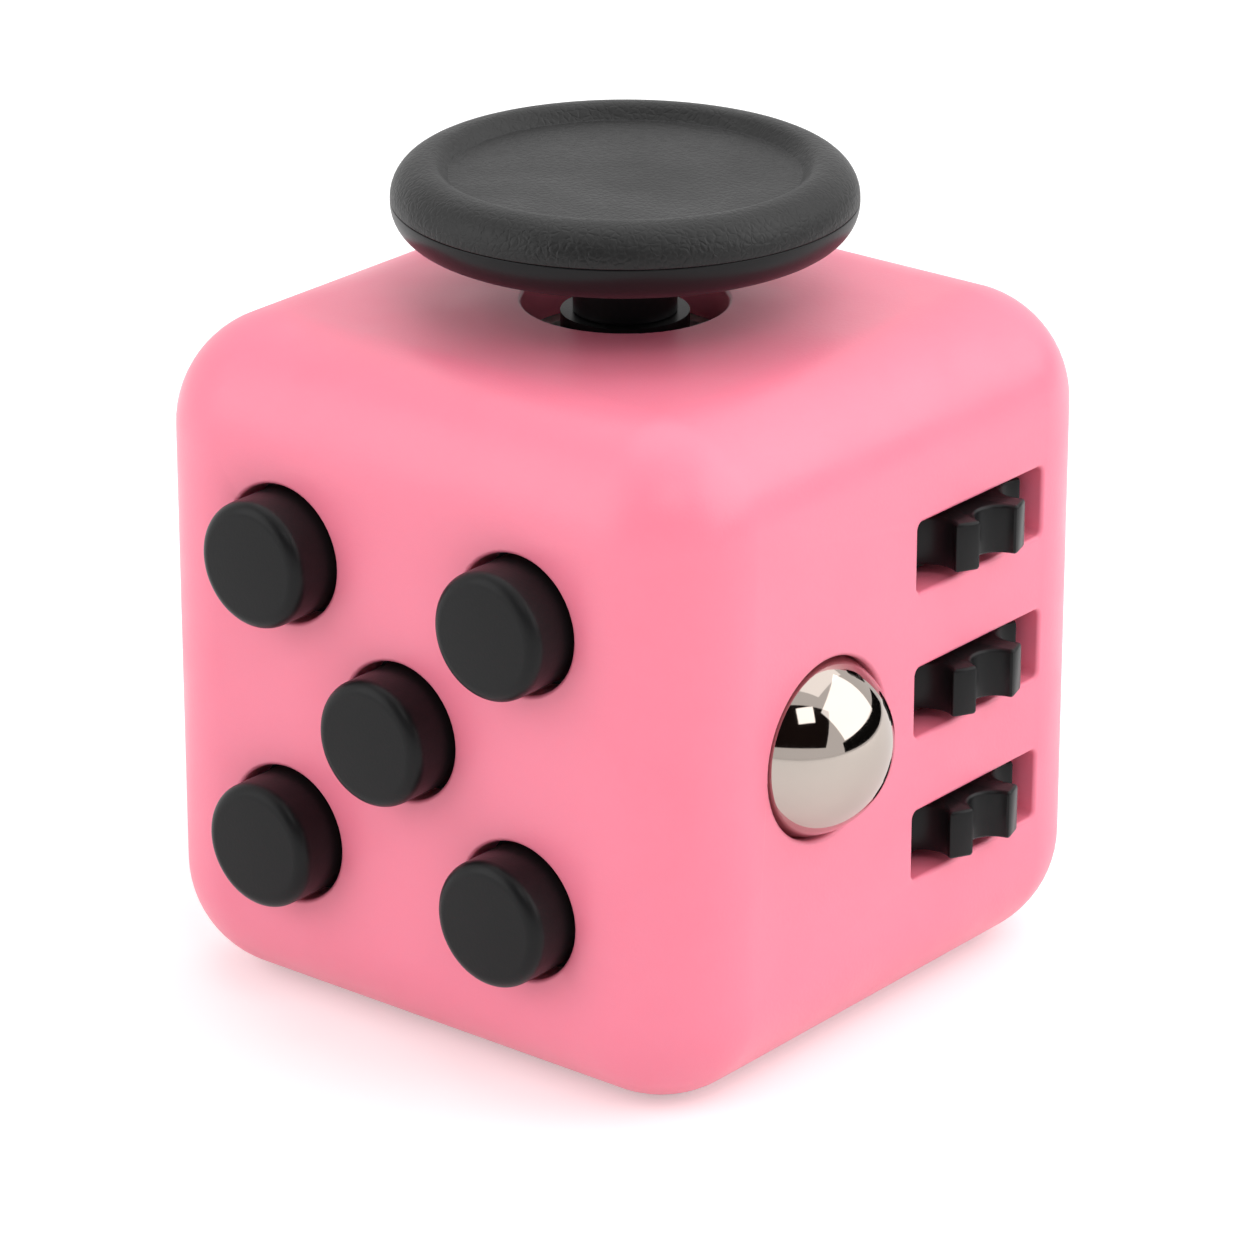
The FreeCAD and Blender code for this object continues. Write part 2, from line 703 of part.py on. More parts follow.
def wheel(name, level):
    """Eight flat topped teeth with round valleys between them, and a hub on both sides."""
    body, sketch = body_with_sketch(name + "_toothed")
    step = 360.0 / WHEEL_TEETH
    tip = tooth_tip_width / 2
    tip_height = root(wheel_tip_radius * wheel_tip_radius - tip * tip)
    corners = []
    for i in range(WHEEL_TEETH):
        angle = i * step
        for side in (-1, 1):
            across, up = tip * side, tip_height
            corners.append((across * math.cos(math.radians(angle)) + up * math.sin(math.radians(angle)),
                            up * math.cos(math.radians(angle)) - across * math.sin(math.radians(angle))))
    # a valley's round bottom runs through two tooth corners and touches the root circle
    half_gap = 180.0 / WHEEL_TEETH
    chord_out = tip_height * cosine(half_gap) + tip * sine(half_gap)
    chord_half = tip_height * sine(half_gap) - tip * cosine(half_gap)
    sag = chord_out - wheel_root_radius
    valley_radius = (chord_half * chord_half + sag * sag) / (2 * sag)
    centre_out = wheel_root_radius + valley_radius
    edges = []
    for i, corner in enumerate(corners):
        following = corners[(i + 1) % len(corners)]
        if i % 2 == 0:
            line = sketch.addGeometry(Part.LineSegment(flat(corner), flat(following)), False)
            edges.append((line, 1, 2))
        else:
            valley = math.radians((i // 2 + 0.5) * step)
            centre = (centre_out * math.sin(valley), centre_out * math.cos(valley))
            edges.append(add_arc(sketch, corner, following, centre, valley_radius))
    join_ends(sketch, edges)
    pad = body.newObject("PartDesign::Pad", name + "_pad")
    pad.Profile = sketch
    pad.Midplane = True
    bind(pad, "Length", wheel_thickness)
    place(body, (wheel_x, wheel_offset, middle + wheel_pitch * level), Z, -wheel_turned)
    length = wheel_hub_length
    hub = rod(name + "_hub", wheel_hub_radius, length,
              (wheel_x, wheel_offset, middle + wheel_pitch * level - length / 2))
    bore = rod(name + "_bore", axle_radius + running_gap, length * 2,
               (wheel_x, wheel_offset, middle + wheel_pitch * level - length))
    return cut(name, fuse(name + "_joined", [body, hub]), [bore])


for name, level in (("gear_upper", 1), ("gear_middle", 0), ("gear_lower", -1)):
    node(name, wheel(name, level))

hub_room = wheel_hub_length / 2 + sliding_gap
bearing_end = wheel_pitch + hub_room + bearing_end_thickness


def side_frame():
    bars = [
        block("frame_spine", (frame_back, frame_face),
              (wheel_offset - frame_spine_half, wheel_offset + frame_spine_half),
              (middle - frame_screw_offset, middle + frame_screw_offset)),
        block("frame_middle", (frame_back, frame_face),
              (-ball_offset - frame_arm_half, wheel_offset + frame_arm_reach),
              (middle - frame_arm_half, middle + frame_arm_half))]
    for i, side in enumerate((-1, 1)):
        level = middle + frame_screw_offset * side
        bars.append(block(f"frame_bar_{i}", (frame_back, frame_face),
                          (-ball_offset - frame_screw_shift - frame_bar_half,
                           wheel_offset + frame_spine_half),
                          (level - frame_bar_half, level + frame_bar_half)))
    spans = [(hub_room, wheel_pitch - hub_room), (hub_room - wheel_pitch, -hub_room),
             (wheel_pitch + hub_room, bearing_end), (-bearing_end, -wheel_pitch - hub_room)]
    for i, (low, high) in enumerate(spans):
        bars.append(block(f"bearing_{i}", (frame_face, wheel_x + axle_radius + bearing_lip),
                          (wheel_offset - bearing_half_width, wheel_offset + bearing_half_width),
                          (middle + low, middle + high)))
    holes = [rod(f"frame_hole_{i}", pilot, frame_thickness + 2, (frame_back - 1, y, middle + z), X)
             for i, (y, z) in enumerate(frame_screw_places)]
    holes.append(rod("frame_stem_hole", cup_stem_radius + running_gap, frame_thickness + 2,
                     (frame_back - 1, -ball_offset, middle), X))
    holes.append(rod("frame_axle_bore", axle_radius + seat_gap, cube_side, (wheel_x, wheel_offset, 0)))
    return cut("side_frame", fuse("frame_joined", bars), holes)


node("side_frame", side_frame())
node("gear_axle", rod("gear_axle", axle_radius, 2 * bearing_end + 0.4,
                      (wheel_x, wheel_offset, middle - bearing_end - 0.2)))
node("side_frame_screws", screws("side_frame_screws", [
    (frame_back - seat_gap, y, middle + z) for y, z in frame_screw_places], X))


# ---- thumb stick on a two axis gimbal ----

pivot_z = cube_side - stick_pivot_depth
rim_level = cube_side + stick_cap_rise
collar_top = cube_side - stick_collar_sunk


def stick_cap():
    """The grained upper half, with its shallow dish."""
    top, low = stick_cap_rim_radius, seat_gap
    floor = top - stick_dish_drop
    profile = [(0, low), (stick_cap_radius, low), (stick_cap_radius, top, top * 0.95),
               (stick_dish_radius + stick_dish_drop, top), (stick_dish_radius, floor), (0, floor)]
    return turned("stick_cap", profile, (0, 0, rim_level))


def stick_cap_base():
    """The smooth lower half: a round bottomed pan on a neck that ends on the collar."""
    r = stick_cap_rim_radius
    low = collar_top + seat_gap - rim_level
    profile = [(0, low), (stick_neck_radius, low), (stick_neck_radius, -r), (stick_cap_radius, -r, r * 0.95),
               (stick_cap_radius, 0), (0, 0)]
    return turned("stick_cap_base", profile, (0, 0, rim_level))


def stick_stem():
    low = -stick_shoulder_depth
    collar = collar_top - pivot_z
    shoulder_top, collar_low = low + stick_collar_height, collar - stick_collar_height
    profile = [(0, low - stick_tail_length), (stick_tail_radius, low - stick_tail_length),
               (stick_tail_radius, low), (stick_shoulder_radius, low), (stick_shoulder_radius, shoulder_top),
               (stick_shank_radius, shoulder_top), (stick_shank_radius, collar_low),
               (stick_collar_radius, collar_low), (stick_collar_radius, collar), (0, collar)]
    stem = turned("stem_blank", profile, (0, 0, pivot_z))
    hole = rod("stem_hole", pin_radius + running_gap, stick_shank_radius * 4,
               (0, -stick_shank_radius * 2, pivot_z), Y)
    return cut("stick_stem", stem, [hole])


def gimbal_ring():
    r = ring_outer_radius
    low = -ring_height / 2
    blank = turned("ring_blank", [(ring_inner_radius, low), (r, low), (r, -low), (ring_inner_radius, -low)],
                   (0, 0, pivot_z))
    return cut("gimbal_ring", blank, [
        rod("ring_outer_holes", pin_radius + running_gap, r * 4, (-r * 2, 0, pivot_z), X),
        rod("ring_inner_holes", pin_radius + seat_gap, r * 4, (0, -r * 2, pivot_z), Y)])


node("stick_cap", stick_cap())
node("stick_cap_base", stick_cap_base())
node("stick_stem", stick_stem())
node("gimbal_ring", gimbal_ring())
node("gimbal_inner_pin", rod("gimbal_inner_pin", pin_radius, ring_outer_radius * 2 - 0.1,
                             (0, -ring_outer_radius + 0.05, pivot_z), Y))
well_outer = well_half + well_wall
pin_inner = ring_inner_radius + 0.1
node("gimbal_outer_pins", fuse("gimbal_outer_pins", [
    rod("outer_pin_right", pin_radius, well_outer - pin_inner, (pin_inner, 0, pivot_z), X),
    rod("outer_pin_left", pin_radius, well_outer - pin_inner, (-pin_inner, 0, pivot_z), -X)]))
well_floor_z = ceiling - well_depth


def stick_housing():
    """A square well under the top wall, hung from two screwed ears."""
    wall = padded("well_wall", rounded_square(well_outer, well_wall), well_depth - sliding_gap,
                  (0, 0, well_floor_z))
    ears = block("well_ears", (-well_ear_half, well_ear_half),
                 (-well_ear_offset - well_ear_half, well_ear_offset + well_ear_half),
                 (ear_top - well_ear_thickness, ear_top - seat_gap))
    room = block("well_room", (-well_half, well_half), (-well_half, well_half),
                 (well_floor_z - 1, ceiling + 1))
    holes = [rod(f"well_hole_{i}", pilot, 3, (0, well_ear_offset * side, ear_top - 2), Z)
             for i, side in enumerate((-1, 1))]
    holes.append(rod("well_pin_holes", pin_radius + seat_gap, well_outer * 4,
                     (-well_outer * 2, 0, pivot_z), X))
    return cut("stick_housing", fuse("well_joined", [wall, ears]), [room] + holes)


node("stick_housing", stick_housing())
node("stick_housing_base", fuse("stick_housing_base", [
    padded("base_plate", rounded_square(well_outer, well_wall), well_floor,
           (0, 0, well_floor_z - well_floor - seat_gap)),
    padded("base_plug", rounded_square(well_half - running_gap, as_size(0.4)), well_floor,
           (0, 0, well_floor_z - seat_gap - 0.4))]))
spring_floor = well_floor_z + well_floor - 0.4
node("stick_spring", coil("stick_spring", well_spring_radius,
                          pivot_z - stick_shoulder_depth - spring_floor - 2 * seat_gap, 5.0,
                          (0, 0, spring_floor + seat_gap * 0.5), Z))
node("stick_housing_screws", screws("stick_housing_screws", [
    (0, well_ear_offset * side, ear_top - well_ear_thickness - seat_gap) for side in (-1, 1)], Z))


# ---- rocker switch ----

def rocker_paddle():
    """Two faces at an angle, ends round about the pin, and a cam with two flats for the leaf spring."""
    angle = rocker_angle
    body, sketch = body_with_sketch("rocker_slab_blank")
    # own X runs along the switch, own Y out of the face; both flats lie one face distance from the pin
    face, back, end = rocker_face, rocker_face - rocker_thickness, rocker_end_radius
    start = -root(end * end - face * face)
    low = -root(end * end - back * back)
    lean_cos, lean_sin = cosine(angle), sine(angle)

    def tilted(along, out):
        return (along * lean_cos - out * lean_sin, along * lean_sin + out * lean_cos)

    def meet(distance):
        """Where the level flat and the leaning flat cross."""
        return ((distance * lean_cos - distance) / lean_sin, distance)

    corners = [(start, face), meet(face), tilted(-start, face), tilted(-low, back), meet(back), (low, back)]
    origin = (as_size(0), as_size(0))
    edges = []
    for i, corner in enumerate(corners):
        following = corners[(i + 1) % len(corners)]
        if i in (2, 5):
            edges.append(add_arc(sketch, corner, following, origin, end))
            continue
        line = sketch.addGeometry(Part.LineSegment(flat(corner), flat(following)), False)
        if i in (1, 4):
            fix(sketch, line, 1, corner)
        edges.append((line, 1, 2))
    join_ends(sketch, edges)
    pad = body.newObject("PartDesign::Pad", "rocker_pad")
    pad.Profile = sketch
    pad.Midplane = True
    bind(pad, "Length", rocker_half_width * 2)
    place_rocker(body)
    cam = rocker_cam_radius
    web = padded("rocker_web", [(-cam, 0), (cam, 0), (cam, back + 0.5), (-cam, back + 0.5)],
                 rocker_half_width * 1.6, (0, 0, 0))
    place_rocker(web, rocker_half_width * 0.8)
    skirts = []
    for i, (first, last) in enumerate(((angle - rocker_skirt_low, angle + 15),
                                       (165 + as_size(0), 180 + rocker_skirt_low))):
        skirts.append(sector(f"rocker_skirt_{i}", end, rocker_skirt, first, last, rocker_half_width * 2))
        place_rocker(skirts[-1], rocker_half_width)
    roller = rod("rocker_cam", cam, rocker_half_width * 1.6, (-rocker_half_width * 0.8, rocker_y, middle), X)
    flats = []
    for i, lean in enumerate((0, 1)):
        cam_flat = padded(f"cam_flat_{i}", [(-3, -3), (3, -3), (3, -rocker_cam_flat), (-3, -rocker_cam_flat)],
                          rocker_half_width * 2, (0, 0, 0))
        place_rocker(cam_flat, rocker_half_width, rocker_angle * lean)
        flats.append(cam_flat)
    hole = rod("rocker_pin_hole", rocker_pin_radius + running_gap, rocker_half_width * 4,
               (-rocker_half_width * 2, rocker_y, middle), X)
    return cut("rocker_paddle", fuse("rocker_joined", [body, web, roller] + skirts), flats + [hole])


def sector(name, outer, thickness, first, last, length):
    """Part of a ring between two angles in degrees, raised along its own Z."""
    body, sketch = body_with_sketch(name)
    small = outer - thickness
    corners = [(r * cosine(a), r * sine(a))
               for r, a in ((outer, first), (outer, last), (small, last), (small, first))]
    centre = (as_size(0), as_size(0))
    edges = [add_arc(sketch, corners[0], corners[1], centre, outer)]
    edges.append((sketch.addGeometry(Part.LineSegment(flat(corners[1]), flat(corners[2])), False), 1, 2))
    edges.append(add_arc(sketch, corners[2], corners[3], centre, small))
    edges.append((sketch.addGeometry(Part.LineSegment(flat(corners[3]), flat(corners[0])), False), 1, 2))
    join_ends(sketch, edges)
    pad = body.newObject("PartDesign::Pad", name + "_pad")
    pad.Profile = sketch
    bind(pad, "Length", length)
    return body


def place_rocker(piece, back_by=None, lean=0):
    """Stand a flat piece in the switch's side plane: own X to +Z, own Y out of the back face, own Z to -X."""
    turn = FreeCAD.Rotation(Z, Y, -X, "XYZ")
    turn = turn.multiply(FreeCAD.Rotation(Z, as_size(lean).number))
    shift = as_size(0) if back_by is None else back_by
    piece.Placement = FreeCAD.Placement(V(shift.number, rocker_y.number, middle.number), turn)
    for name, c in zip("xyz", (shift, rocker_y, middle)):
        bind(piece, f"Placement.Base.{name}", c)


cheek_inner = rocker_half_width + cradle_gap
cheek_outer = cheek_inner + cradle_cheek


def rocker_cradle():
    """A plate screwed to two bosses, with two cheeks for the pin and two pads for the leaf spring."""
    pieces = [block("cradle_plate", (-cheek_outer, cheek_outer), (cradle_back, cradle_front - seat_gap),
                    (middle - cradle_screw_offset - boss_radius, middle + cradle_screw_offset + boss_radius))]
    for i, side in enumerate((-1, 1)):
        span = (cheek_inner, cheek_outer) if side > 0 else (-cheek_outer, -cheek_inner)
        pieces.append(block(f"cradle_cheek_{i}", span, (cradle_back, inner - sliding_gap),
                            (middle - cradle_cheek_half, middle + cradle_cheek_half)))
        pad_level = middle + (leaf_half_length - 0.8) * side
        pieces.append(block(f"cradle_pad_{i}", (-leaf_half_width, leaf_half_width),
                            (cradle_back, cradle_front + leaf_clearance - seat_gap),
                            (pad_level - 0.8, pad_level + 0.8)))
    holes = [rod(f"cradle_hole_{i}", pilot, cradle_plate_thickness + 2,
                 (0, cradle_back - 1, middle + cradle_screw_offset * side), Y)
             for i, side in enumerate((-1, 1))]
    holes.append(rod("cradle_pin_holes", rocker_pin_radius + seat_gap, cheek_outer * 4,
                     (-cheek_outer * 2, rocker_y, middle), X))
    return cut("rocker_cradle", fuse("cradle_joined", pieces), holes)


node("rocker_paddle", rocker_paddle())
node("rocker_pin", rod("rocker_pin", rocker_pin_radius, cheek_outer * 2, (-cheek_outer, rocker_y, middle), X))
node("rocker_cradle", rocker_cradle())
node("rocker_leaf", block("rocker_leaf", (-leaf_half_width, leaf_half_width),
                          (cradle_front + leaf_clearance, cradle_front + leaf_clearance + leaf_thickness),
                          (middle - leaf_half_length, middle + leaf_half_length)))
node("rocker_cradle_screws", screws("rocker_cradle_screws", [
    (0, cradle_back - seat_gap, middle + cradle_screw_offset * side) for side in (-1, 1)], Y))


# ---- spinning dial ----

def dial_disc():
    """Own Z points out of the left face, from the recess's floor."""
    under = sliding_gap
    face = dial_recess_depth + dial_proud
    shaft = -(cube_wall - dial_recess_depth + dial_boss_height + dial_washer_thickness + 2 * seat_gap)
    profile = [(0, shaft), (dial_shaft_radius, shaft), (dial_shaft_radius, under), (dial_radius, under),
               (dial_radius, face, dial_edge_round), (0, face)]
    start = (-half + dial_recess_depth, 0, middle)
    disc = turned("dial_blank", profile, start, -X)
    nub = turned("dial_nub", [(0, 0), (dial_nub_radius, 0),
                              (dial_nub_radius, dial_nub_height, dial_nub_height * 0.5),
                              (0, dial_nub_height)],
                 (-half - dial_proud, 0, middle + dial_nub_offset), -X)
    hole = rod("dial_screw_hole", screw_radius + seat_gap, screw_reach,
               (-inner + dial_boss_height + dial_washer_thickness + 2 * seat_gap, 0, middle), -X)
    return cut("dial_disc", fuse("dial_joined", [disc, nub]), [hole])


def washer(name, outer, bore, thickness, at, axis):
    return turned(name, [(bore, 0), (outer, 0), (outer, thickness), (bore, thickness)], at, axis)


node("dial_disc", dial_disc())
boss_face = -inner + dial_boss_height
node("dial_friction_washer", washer(
    "dial_friction_washer", dial_washer_radius, dial_shaft_radius + running_gap, dial_washer_thickness,
    (boss_face + seat_gap, 0, middle), X))
node("dial_washer", washer(
    "dial_washer", dial_washer_radius - 0.4, screw_radius + running_gap, dial_washer_thickness,
    (boss_face + dial_washer_thickness + 3 * seat_gap, 0, middle), X))
node("dial_screw", screws("dial_screw", [
    (boss_face + 2 * dial_washer_thickness + 4 * seat_gap, 0, middle)], -X))


# ---- check everything, then write one file for each piece ----

def main():
    doc.recompute()
    failed = [o.Name for o in doc.Objects if {"Invalid", "Error"} & set(o.State)]
    if failed:
        raise SystemExit("failed: " + ", ".join(failed))
    for name, piece in NODES.items():
        if piece.Shape.isNull() or not piece.Shape.isValid() or not piece.Shape.Solids:
            raise SystemExit("bad shape: " + name)
    os.makedirs("parts", exist_ok=True)
    for name, piece in NODES.items():
        piece.Shape.exportStep(f"parts/{name}.step")
        print(name, len(piece.Shape.Solids), round(piece.Shape.Volume, 2))


main()
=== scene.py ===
import math

import bmesh
import bpy
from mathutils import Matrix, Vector


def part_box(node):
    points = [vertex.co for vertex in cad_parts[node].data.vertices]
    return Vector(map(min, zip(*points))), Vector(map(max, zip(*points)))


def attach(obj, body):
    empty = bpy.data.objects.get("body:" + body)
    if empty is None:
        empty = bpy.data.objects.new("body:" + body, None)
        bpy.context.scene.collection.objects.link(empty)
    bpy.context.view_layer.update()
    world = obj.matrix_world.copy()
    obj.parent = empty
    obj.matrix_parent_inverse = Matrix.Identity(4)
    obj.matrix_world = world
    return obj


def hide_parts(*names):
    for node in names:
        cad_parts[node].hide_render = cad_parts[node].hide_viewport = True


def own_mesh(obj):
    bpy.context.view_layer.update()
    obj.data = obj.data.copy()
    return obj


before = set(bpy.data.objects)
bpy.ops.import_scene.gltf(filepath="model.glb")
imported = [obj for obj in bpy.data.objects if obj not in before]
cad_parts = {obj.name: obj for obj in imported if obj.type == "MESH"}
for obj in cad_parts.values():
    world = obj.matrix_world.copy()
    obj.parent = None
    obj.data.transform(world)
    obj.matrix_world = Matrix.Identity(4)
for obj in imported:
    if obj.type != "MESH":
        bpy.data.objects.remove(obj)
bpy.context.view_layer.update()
MM = 0.001
WELD = 1e-6
SAME_POINT = 1e-7
SHARP_ON_CAD, SHARP_ON_TURNED, SHARP_ON_WHEEL = math.radians(32), math.radians(40), math.radians(50)


# ---- Housing ----
# One seamless moulded cube of satin pink ABS, with the openings for all six toys, and a bottom cover with a
# worry dish that presses in on four pegs. The mould's fine spark texture breaks up the shine a little.

def linear(red, green, blue):
    """A colour picked as it looks, 0 to 255, as the shader needs it."""
    shares = [channel / 255 for channel in (red, green, blue)]
    return tuple(((c + 0.055) / 1.055) ** 2.4 if c > 0.04045 else c / 12.92 for c in shares) + (1,)


def node_maker(tree):
    """A helper that adds a node to a tree, sets its values and properties, and wires its inputs."""
    def add(kind, values=None, **links):
        node = tree.nodes.new(kind)
        for name, value in (values or {}).items():
            if isinstance(name, int) or name in node.inputs:
                node.inputs[name].default_value = value
            else:
                setattr(node, name, value)
        for name, source in links.items():
            tree.links.new(source, node.inputs[int(name[1:]) if name[0] == "_" else name.replace("_", " ")])
        return node
    return add


def new_material(name, colour, roughness, metallic=0.0, **sockets):
    """A principled material. Gives the material, its shader and a helper that adds a wired node."""
    material = bpy.data.materials.new(name)
    material.use_nodes = True
    tree = material.node_tree
    shader = tree.nodes["Principled BSDF"]
    shader.inputs["Base Color"].default_value = colour
    shader.inputs["Roughness"].default_value = roughness
    shader.inputs["Metallic"].default_value = metallic
    for socket, value in sockets.items():
        shader.inputs[socket.replace("_", " ")].default_value = value
    return material, shader, node_maker(tree)


CLOUD_SCALE, HANDLING_SCALE, UNEVEN_SHINE = 140.0, 220.0, 0.05


def moulded_plastic(name, colour, deep_colour, roughness, grain_scale, grain_depth, **sockets):
    """Moulded plastic: fine grain, faint cloudy colour, and a shine that handling makes a little uneven."""
    material, shader, add = new_material(name, colour, roughness, **sockets)
    tree = material.node_tree
    place = add("ShaderNodeTexCoord").outputs["Object"]
    cloud = add("ShaderNodeTexNoise", {"Scale": CLOUD_SCALE, "Detail": 4.0}, Vector=place)
    tint = add("ShaderNodeMix", {"data_type": "RGBA"})
    tint.inputs["A"].default_value = deep_colour
    tint.inputs["B"].default_value = colour
    soften = add("ShaderNodeMapRange", {"From Max": 0.5}, Value=cloud.outputs["Fac"])
    tree.links.new(soften.outputs["Result"], tint.inputs["Factor"])
    tree.links.new(tint.outputs["Result"], shader.inputs["Base Color"])
    grain = add("ShaderNodeTexNoise", {"Scale": grain_scale, "Detail": 3.0, "Roughness": 0.6}, Vector=place)
    handling = add("ShaderNodeTexNoise", {"Scale": HANDLING_SCALE, "Detail": 2.0}, Vector=place)
    drift = add("ShaderNodeMapRange", {"From Min": 0.3, "From Max": 0.7, "To Min": roughness - UNEVEN_SHINE,
                                       "To Max": roughness + UNEVEN_SHINE}, Value=handling.outputs["Fac"])
    tree.links.new(drift.outputs["Result"], shader.inputs["Roughness"])
    bump = add("ShaderNodeBump", {"Strength": 0.5, "Distance": grain_depth}, Height=grain.outputs["Fac"])
    tree.links.new(bump.outputs["Normal"], shader.inputs["Normal"])
    return material


def give(piece, material):
    """Give a piece one material all over."""
    piece.data.materials.clear()
    piece.data.materials.append(material)
    for face in piece.data.polygons:
        face.material_index = 0


def finish_as_built(material, *nodes):
    """Give a material to pieces that keep their CAD mesh."""
    for node in nodes:
        give(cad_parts[node], material)


def in_scene(name, data):
    """Put a mesh, a lamp or a camera into the scene as an object."""
    thing = bpy.data.objects.new(name, data)
    bpy.context.scene.collection.objects.link(thing)
    return thing


def merged_copy(node):
    """A copy of a CAD node with its loose triangles joined, smooth but for its real edges."""
    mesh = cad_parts[node].data.copy()
    mesh.name = node + "_finished"
    form = bmesh.new()
    form.from_mesh(mesh)
    bmesh.ops.remove_doubles(form, verts=form.verts, dist=SAME_POINT)
    for face in form.faces:
        face.smooth = True
    for edge in form.edges:
        edge.smooth = len(edge.link_faces) == 2 and edge.calc_face_angle(0.0) < SHARP_ON_CAD
    form.to_mesh(mesh)
    form.free()
    return in_scene(node + "_finished", mesh)


def baked(piece):
    """Turn a piece's modifiers into its plain mesh."""
    depsgraph = bpy.context.evaluated_depsgraph_get()
    finished = bpy.data.meshes.new_from_object(piece.evaluated_get(depsgraph), preserve_all_data_layers=True,
                                               depsgraph=depsgraph)
    piece.modifiers.clear()
    piece.data = finished
    return piece


def weigh_normals(piece):
    """Let the flat faces rule the shading, so that round edges run into them without a kink."""
    weighted = piece.modifiers.new("even_shading", "WEIGHTED_NORMAL")
    weighted.keep_sharp = True
    weighted.weight = 80
    return piece


def stand_for(piece, node, body):
    """Let a piece take its CAD node's place: it rides with the body, and the CAD node is hidden."""
    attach(piece, body)
    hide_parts(node)


PINK = linear(250, 134, 158)
PINK_DEEP = linear(247, 127, 151)
housing_plastic = moulded_plastic("satin_pink_plastic", PINK, PINK_DEEP, 0.37, 5200.0, 0.00002,
                                  Subsurface_Weight=0.12, Subsurface_Scale=0.0012,
                                  Subsurface_Radius=(1.0, 0.35, 0.3))
for node in ("main_shell", "bottom_cover"):
    piece = baked(weigh_normals(merged_copy(node)))
    give(piece, housing_plastic)
    stand_for(piece, node, "housing")


# ---- Push buttons ----
# Five round caps of near-black ABS, each with a softly rounded face edge, a retaining flange and a post. One
# small tree turns them all. Behind them stand wire springs, three snap domes and a screwed white plate.

def tree_with_geometry(name, sockets):
    """A geometry tree with named inputs. Gives the tree, its input and output nodes, and a node maker."""
    tree = bpy.data.node_groups.new(name, "GeometryNodeTree")
    tree.interface.new_socket("Geometry", in_out="INPUT", socket_type="NodeSocketGeometry")
    for socket, (kind, value) in sockets.items():
        made = tree.interface.new_socket(socket, in_out="INPUT", socket_type="NodeSocket" + kind)
        if value is not None:
            made.default_value = value
    tree.interface.new_socket("Geometry", in_out="OUTPUT", socket_type="NodeSocketGeometry")
    entry, leave = tree.nodes.new("NodeGroupInput"), tree.nodes.new("NodeGroupOutput")
    return tree, entry, leave, node_maker(tree)


def run_tree(piece, tree, values):
    """Run a geometry tree on a piece with values for its named inputs, and keep the plain mesh."""
    modifier = piece.modifiers.new(tree.name, "NODES")
    modifier.node_group = tree
    for item in tree.interface.items_tree:
        if item.item_type == "SOCKET" and item.in_out == "INPUT" and item.name in values:
            modifier[item.identifier] = values[item.name]
    return baked(piece)


lathe, entry, leave, add = tree_with_geometry("lathe", {
    "Path radius": ("Float", 0.01), "Steps around": ("Int", 96), "Axis turn": ("Rotation", None),
    "Place": ("Vector", (0, 0, 0)), "Material": ("Material", None)})
outline_curve = add("GeometryNodeMeshToCurve", Mesh=entry.outputs["Geometry"])
inwards = add("ShaderNodeMath", {"operation": "MULTIPLY", 1: -1.0}, _0=entry.outputs["Path radius"])
shift = add("ShaderNodeCombineXYZ", X=inwards.outputs[0])
shifted = add("GeometryNodeTransform", Geometry=outline_curve.outputs["Curve"], Translation=shift.outputs[0])
path = add("GeometryNodeCurvePrimitiveCircle", Radius=entry.outputs["Path radius"],
           Resolution=entry.outputs["Steps around"])
swept = add("GeometryNodeCurveToMesh", Curve=path.outputs[0], Profile_Curve=shifted.outputs[0])
closed = add("GeometryNodeMergeByDistance", {"Distance": WELD}, Geometry=swept.outputs[0])
turned = add("GeometryNodeTransform", Geometry=closed.outputs[0], Translation=entry.outputs["Place"],
             Rotation=entry.outputs["Axis turn"])
smooth = add("GeometryNodeSetShadeSmooth", Geometry=turned.outputs[0])
real = add("GeometryNodeRealizeInstances", Geometry=smooth.outputs[0])
coated = add("GeometryNodeSetMaterial", Geometry=real.outputs[0], Material=entry.outputs["Material"])
lathe.links.new(coated.outputs[0], leave.inputs[0])


def rounded_outline(corners, steps):
    """An outline of (radius, height, round) corners, from the middle of the top outwards, with arcs."""
    points = []
    for i, (r, z, rounding) in enumerate(corners):
        here = Vector((r, z))
        if not rounding or i in (0, len(corners) - 1):
            points.append(here)
            continue
        before, after = Vector(corners[i - 1][:2]), Vector(corners[i + 1][:2])
        one, two = (before - here).normalized(), (after - here).normalized()
        half_angle = one.angle(two) / 2
        reach = rounding / math.tan(half_angle)
        centre = here + (one + two).normalized() * (rounding / math.sin(half_angle))
        start, end = here + one * reach - centre, here + two * reach - centre
        sweep = start.angle_signed(end)
        for k in range(steps + 1):
            turn = -sweep * k / steps
            points.append(centre + Vector((start.x * math.cos(turn) - start.y * math.sin(turn),
                                           start.x * math.sin(turn) + start.y * math.cos(turn))))
    return points


def turned_piece(name, corners, place, material, turn=(0, 0, 0), steps=8, around=96):
    """Turn a piece from its outline about its own Z, then stand it in place."""
    points = rounded_outline(corners, steps)
    mesh = bpy.data.meshes.new(name)
    mesh.from_pydata([(p.x, -p.y, 0) for p in points], [(i, i + 1) for i in range(len(points) - 1)], [])
    piece = in_scene(name, mesh)
    run_tree(piece, lathe, {"Path radius": max(p.x for p in points), "Steps around": around,
                            "Axis turn": turn, "Place": tuple(place), "Material": material})
    piece.data.set_sharp_from_angle(angle=SHARP_ON_TURNED)
    return piece


